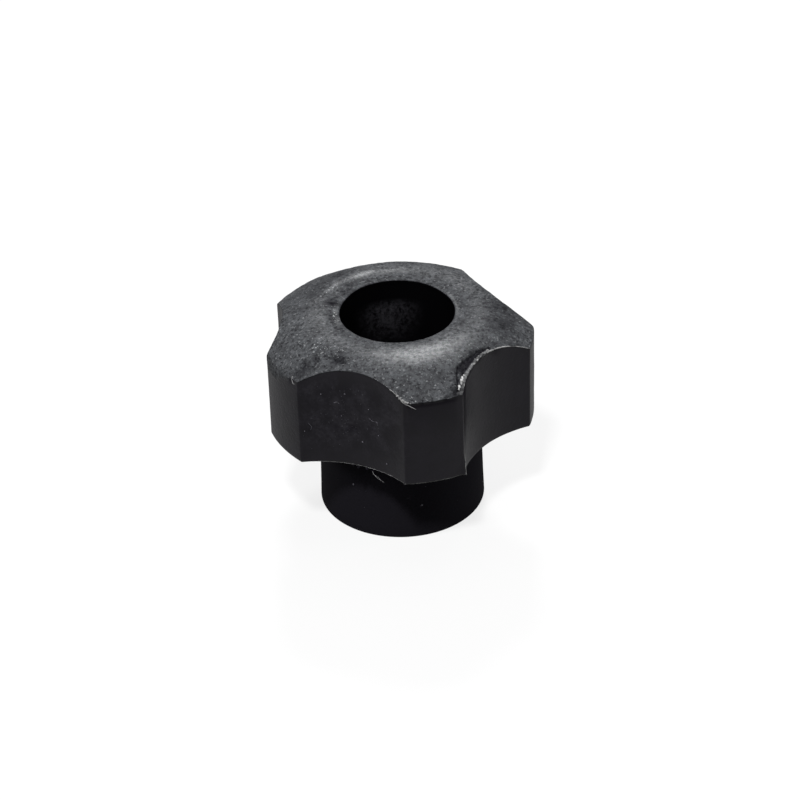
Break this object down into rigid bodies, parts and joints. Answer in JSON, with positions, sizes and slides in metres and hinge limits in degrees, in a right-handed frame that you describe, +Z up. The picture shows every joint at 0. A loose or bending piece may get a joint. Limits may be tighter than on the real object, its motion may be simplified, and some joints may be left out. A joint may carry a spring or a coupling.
{
  "type": "handle knob",
  "caption": "Lobed handle knob moulded in one piece of black rubber, with a star-shaped domed head on a round hub and a plain bore down the middle.",
  "frame": {"origin": "centre of the bore in the plane of the hub's foot", "axes": "+Z runs up the bore from the foot to the domed top; the middle of one lobe points along -Y"},
  "size_m": [0.0495, 0.0481, 0.0402],
  "materials": {
    "rubber": "matt black moulded rubber, gritty on the dome"
  },
  "bodies": {
    "root": {"knob": "rubber"}
  },
  "joints": []
}
